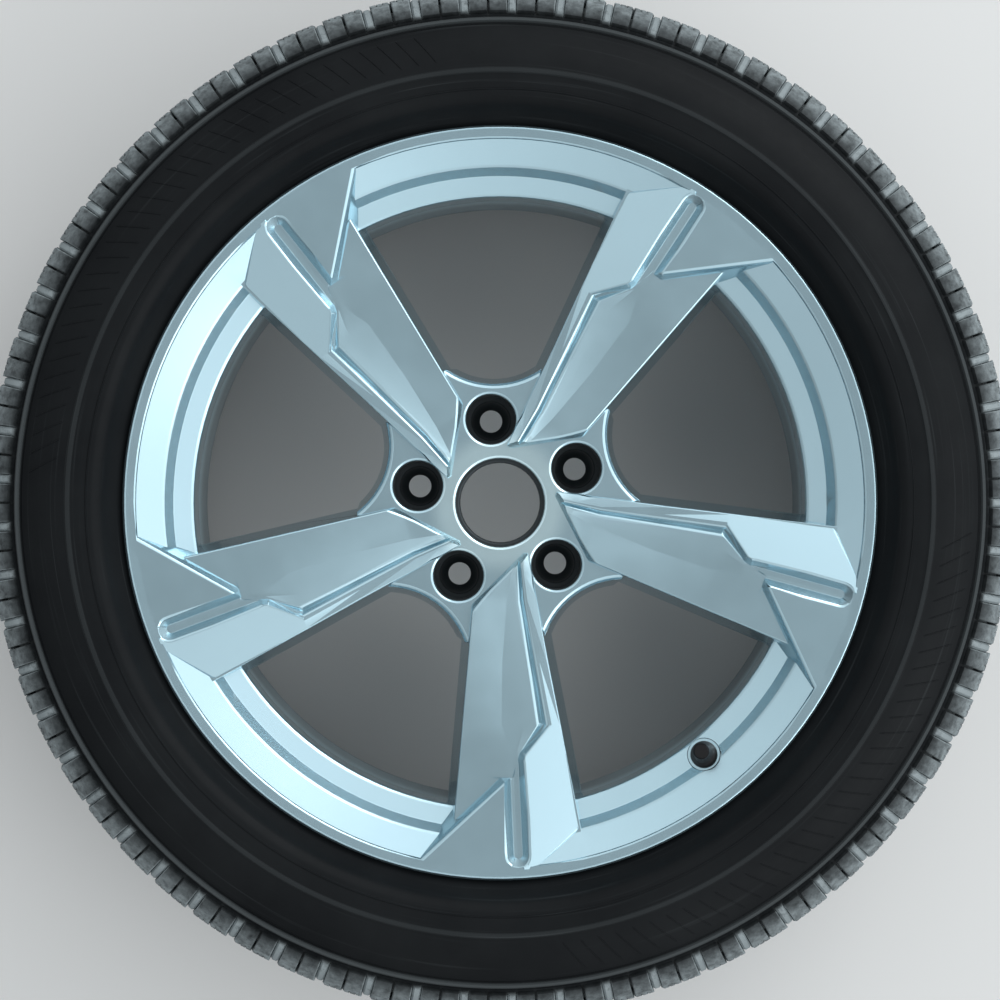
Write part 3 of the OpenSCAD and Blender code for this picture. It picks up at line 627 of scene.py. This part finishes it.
def shoulder_rows(left, right, waves):
    """A shoulder slab, from the foot line on the sidewall over the edge to the outer groove."""
    path = [(323.0, 106.6, 318.0, 100.0), (323.8, 107.9, 320.0, 99.0), (327.4, 106.6, 322.0, 96.0),
            (331.6, 103.8, 325.0, 92.0), (335.6, 99.6, 328.0, 88.0), (338.6, 95.4, 330.0, 86.0),
            (340.8, 91.4, 331.0, 84.0), (crown(85), 85.0, 331.0, 82.0), (crown(79), 79.0, 331.5, 78.0),
            (crown(73), 73.0, 332.0, 73.0), (crown(67), 67.0, 332.0, 67.0),
            (crown(61.4), 61.4, 332.5, 61.0), (crown(60.5) - 1.0, 60.5, 332.5, 60.6)]
    rows = []
    for top_r, top_z, foot_r, foot_z in path:
        swing = wave(top_z) * waves * min(1.0, max(0.0, (104.0 - top_z) / 10.0))
        rows.append((top_r, top_z, foot_r, foot_z, left + swing, right + swing))
    return rows


def ramp_rows(left, right):
    """The notch between two pairs of blocks: a rounded ramp that drops towards the tread."""
    path = [(322.0, 106.4, 318.0, 100.0), (323.6, 107.5, 320.0, 99.0), (328.0, 105.6, 322.0, 96.0),
            (332.4, 101.8, 325.0, 92.0), (336.2, 97.0, 328.0, 88.0), (338.6, 92.8, 330.0, 86.0),
            (339.2, 90.4, 331.0, 84.0), (338.0, 88.6, 331.0, 83.0), (335.4, 86.8, 330.0, 82.0)]
    return [(*place, left, right) for place in path]


def rib_rows(z0, z1, left, right, slant, steps=8):
    """A slab of a rib round the tread, from one groove to the next."""
    rows = []
    for z in np.linspace(z0, z1, steps):
        swing = wave(z) + slant * (z - z0)
        edge = 0.8 if z in (z0, z1) else 0.0
        rows.append((crown(z) - edge, z, crown(z) - GROOVE_CUT - 1.5, z, left + swing, right + swing))
    return rows


def pitch(side):
    """The blocks of one pitch on one side of the tyre: side is 1 in front, -1 at the back."""
    slabs = Slabs()

    def add(rows, chamfer):
        slabs.add([(top_r, top_z * side, foot_r, foot_z * side, left, right)
                   for top_r, top_z, foot_r, foot_z, left, right in rows], chamfer)

    block = (PITCH_MM - NOTCH - SLOT) / 2
    outer = 5  # rows of a block that lie outside its sipes
    for start in (NOTCH / 2, NOTCH / 2 + block + SLOT):
        for left, right in between_sipes(start, start + block, 3):
            add(shoulder_rows(left, right, 1.0)[outer:], 0.35)
        add(shoulder_rows(start, start + block, 0.0)[:outer + 1], 0.7)
    reach = NOTCH / 2 - 0.45
    add(ramp_rows(-reach, reach), 1.6)
    return slabs


def middle_pitch():
    """One pitch of the centre rib and of the slanted ribs on both sides of it."""
    slabs = Slabs()
    centre = (-11.5, 11.5, 1.6, 0.25, 0.0)
    beside = (20.5, 51.5, 4.0, 0.45, 6.0), (-51.5, -20.5, 4.0, 0.45, -6.0)
    for z0, z1, gap, slant, shift in (centre, *beside):
        for left, right in between_sipes(gap / 2 + shift, PITCH_MM - gap / 2 + shift, 5):
            slabs.add(rib_rows(z0, z1, left, right, slant), 0.4)
    return slabs


# %% Set a pitch round the tyre with Geometry Nodes
def ring_tree():
    """A node tree that copies an object round the Z axis."""
    tree = bpy.data.node_groups.new("set_round_axle", "GeometryNodeTree")
    face = tree.interface
    face.new_socket("Geometry", in_out="OUTPUT", socket_type="NodeSocketGeometry")
    kinds = {"Piece": "Object", "Count": "Int", "Step": "Float", "Start": "Float", "Finish": "Material"}
    sockets = {
        name: face.new_socket(name, in_out="INPUT", socket_type="NodeSocket" + kind).identifier
        for name, kind in kinds.items()
    }
    given = tree.nodes.new("NodeGroupInput").outputs
    add = Nodes(tree).node
    points = add("GeometryNodePoints", values={"Count": given["Count"]})
    shape = add("GeometryNodeObjectInfo", values={"Object": given["Piece"]}, output="Geometry")
    index = add("GeometryNodeInputIndex")
    steps = {0: index, 1: given["Step"], 2: given["Start"]}
    turn = add("ShaderNodeMath", {"operation": "MULTIPLY_ADD"}, steps)
    axis = add("ShaderNodeCombineXYZ", values={"Z": turn})
    places = {"Points": points, "Instance": shape, "Rotation": axis}
    placed = add("GeometryNodeInstanceOnPoints", values=places)
    real = add("GeometryNodeRealizeInstances", values={0: placed})
    painted = add("GeometryNodeSetMaterial", values={"Geometry": real, "Material": given["Finish"]})
    tree.links.new(painted.socket, tree.nodes.new("NodeGroupOutput").inputs[0])
    return tree, sockets


RING_TREE, RING_SOCKETS = ring_tree()


def set_round(name, piece, count, step, start):
    """Copies of a piece round the axle, as one plain mesh. The piece itself is used up."""
    carrier = new_object(name, [(0, 0, 0)], [])
    modifier = carrier.modifiers.new("round_axle", "NODES")
    modifier.node_group = RING_TREE
    given = {"Piece": piece, "Count": count, "Step": step, "Start": start, "Finish": rubber}
    for key, value in given.items():
        modifier[RING_SOCKETS[key]] = value
    carrier.update_tag()
    graph = bpy.context.evaluated_depsgraph_get()
    mesh = bpy.data.meshes.new_from_object(carrier.evaluated_get(graph))
    carrier.modifiers.remove(modifier)
    carrier.data = mesh
    mesh.name = name
    bpy.data.objects.remove(piece)
    print(name + ":", len(mesh.polygons), "faces")
    return carrier


step = 2 * math.pi / PITCHES
front_blocks = set_round("shoulder_blocks_front", pitch(1).made("pitch"), PITCHES, step, 0.0)
back_blocks = set_round("shoulder_blocks_back", pitch(-1).made("pitch"), PITCHES, step, step / 2)
ribs = set_round("tread_ribs", middle_pitch().made("pitch"), PITCHES, step, step / 4)

# %% [markdown]
# ## Marks on the sidewall
#
# Moulds leave fine raised ribs on a sidewall, which hide its small unevenness. Two fans of them
# lie opposite each other, each rib a thin bar that follows the curve of the sidewall.

# %% Fans of fine ribs
FAN_RIBS, FAN_STEP = 34, math.radians(2.3)
FAN_STARTS = {"sidewall_fan_1": math.radians(98.0), "sidewall_fan_2": math.radians(278.0)}


def fan_rib(inner=288.0, outer=311.0, width=1.1, height=0.45, lean=16.0):
    """A thin bar on the sidewall that leans sideways on its way out."""
    side_r, side_z = np.array(side[len(bead):]).T
    rows = []
    for radius in np.linspace(inner, outer, 9):
        share = (radius - inner) / (outer - inner)
        rise = height if 0.05 < share < 0.95 else -0.2
        z = float(np.interp(radius, side_r, side_z))
        middle_at = lean * share
        rows.append((radius, z + rise, radius, z - 0.6, middle_at - width / 2, middle_at + width / 2))
    rib = Slabs()
    rib.add(rows, 0.3)
    return rib.made("fan_rib")


fans = [set_round(name, fan_rib(), FAN_RIBS, FAN_STEP, start) for name, start in FAN_STARTS.items()]

for piece in (carcass, front_blocks, back_blocks, ribs, *fans):
    smooth(piece, 32)
    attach(piece, "wheel")
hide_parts("tyre")

# %% [markdown]
# ## The spring of the valve core
#
# The pin's collar presses the spring down on its seat. A spring that only rode on the wheel
# would be cut by the collar, and this one only rides on the wheel: it is a copy of the CAD
# spring, and its free length along the valve's axis and its length when pressed are printed.

# %% Spring that rides on the wheel
press = next(joint for joint in frame["joints"] if joint["name"] == "pin_press")
down, travel = Vector(press["axis"]).normalized(), press["range_m"][1]
spring = bpy.data.objects.new("spring_coil", frame["nodes"]["core_spring"].data.copy())
bpy.context.scene.collection.objects.link(spring)
depths = [vertex.co.dot(down) for vertex in spring.data.vertices]
free_length = max(depths) - min(depths)
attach(spring, "wheel")
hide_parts("core_spring")
1 - travel / free_length
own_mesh(spring)
print(f"spring: {free_length / MM:.2f} mm long, {(free_length - travel) / MM:.2f} mm when pressed")

# %% [markdown]
# ## Floor, light and camera
#
# A plain pale floor carries the wheel. Metallic paint shows what is around it: a ring of soft
# light well off the axis makes the slanted facets bright, one side of it brighter than the
# other, and a dimmer patch straight above leaves the flat facets a middle grey.

# %% Floor
floor_z = cad_box[0].z
corners = [(x, y, floor_z) for x, y in ((-6, -6), (6, -6), (6, 6), (-6, 6))]
floor = new_object("floor", corners, [(0, 1, 2, 3)])
paper = Paint("pale_floor")
floor.data.materials.append(paper.set(Base_Color=(0.66, 0.665, 0.66), Roughness=0.85))

# %% Studio light
def area_light(name, place, size, power, target=(0, 0, 0)):
    lamp = bpy.data.lights.new(name, "AREA")
    lamp.shape = "DISK"
    lamp.size = size
    lamp.energy = power
    piece = bpy.data.objects.new(name, lamp)
    piece.location = place
    piece.rotation_euler = (Vector(target) - Vector(place)).to_track_quat("-Z", "Y").to_euler()
    bpy.context.scene.collection.objects.link(piece)
    return piece


# how bright the room is at each height: 0 is the horizon and 1 straight above
GLOW = [(0.0, 0.18), (0.2, 0.4), (0.38, 1.25), (0.6, 1.0), (0.88, 1.2), (0.93, 1.1), (0.975, 0.40),
        (1.0, 0.43)]


def studio_world():
    """A room that is dim overhead, bright half way down and grey at the horizon."""
    world = bpy.data.worlds.new("studio")
    world.use_nodes = True
    bpy.context.scene.world = world
    room = Nodes(world.node_tree)
    x, y, height = room.split(room.node("ShaderNodeTexCoord"))
    stops = [(at, (glow * 0.97, glow, glow * 1.02)) for at, glow in GLOW]
    colour = room.node("ShaderNodeValToRGB", {"stops": stops}, {0: height})
    strength = x * 0.58 + y * 0.20 + 0.95
    backdrop = room.tree.nodes["Background"]
    room.tree.links.new(colour.socket, backdrop.inputs["Color"])
    room.tree.links.new(strength.socket, backdrop.inputs["Strength"])


studio_world()
area_light("window_light", (1.3, 1.7, 1.6), 1.4, 14)
area_light("room_light", (1.7, -1.1, 1.8), 1.6, 10)

# %% Camera
SENSOR = 36.0
FOCAL_PX, FRAME_PX = 2206.0, 1000.0
FLANGE_Z = 106.75 * MM
cam = bpy.data.cameras.new("camera")
cam.sensor_width = SENSOR
cam.lens = FOCAL_PX / FRAME_PX * SENSOR
cam.clip_start = 0.05
camera = bpy.data.objects.new("camera", cam)
camera.location = (0.0, 1.8 * MM, FLANGE_Z + 1.45)
bpy.context.scene.collection.objects.link(camera)
bpy.context.scene.camera = camera
bpy.context.scene.view_settings.view_transform = "Standard"
print("lens:", round(cam.lens, 1), "mm")
